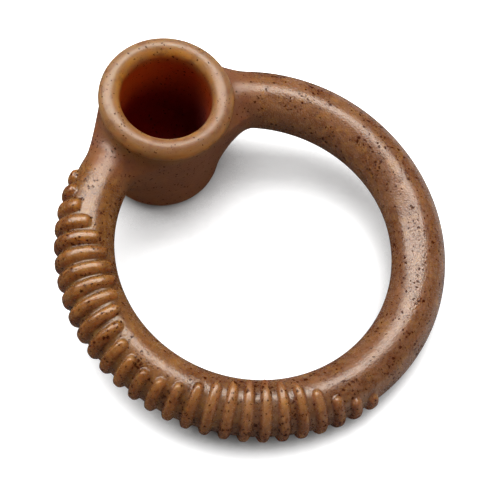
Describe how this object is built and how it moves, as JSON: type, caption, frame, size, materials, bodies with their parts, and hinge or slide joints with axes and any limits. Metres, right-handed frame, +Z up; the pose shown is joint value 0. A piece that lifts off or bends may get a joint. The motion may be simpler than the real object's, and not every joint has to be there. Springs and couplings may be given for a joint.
{
  "type": "dog chew ring",
  "caption": "Moulded nylon dog chew: a round-bar ring with a blind treat cup standing across the bar and a run of rounded chewing ribs wrapped round one side.",
  "frame": {"origin": "on the floor, under the middle of the chew's box as it lies at rest on the edge of its cup's foot and the far side of its ring", "axes": "+Z up, +Y from the middle of the ring towards the treat cup, +X towards the middle of the smooth arc"},
  "size_m": [0.1178, 0.1308, 0.0475],
  "materials": {
    "flecked_nylon": "satin tan-brown nylon, slightly translucent, mottled and flecked with dark specks"
  },
  "bodies": {
    "root": {"treat_cup": "flecked_nylon", "ribbed_arc": "flecked_nylon", "smooth_arc": "flecked_nylon"}
  },
  "joints": []
}
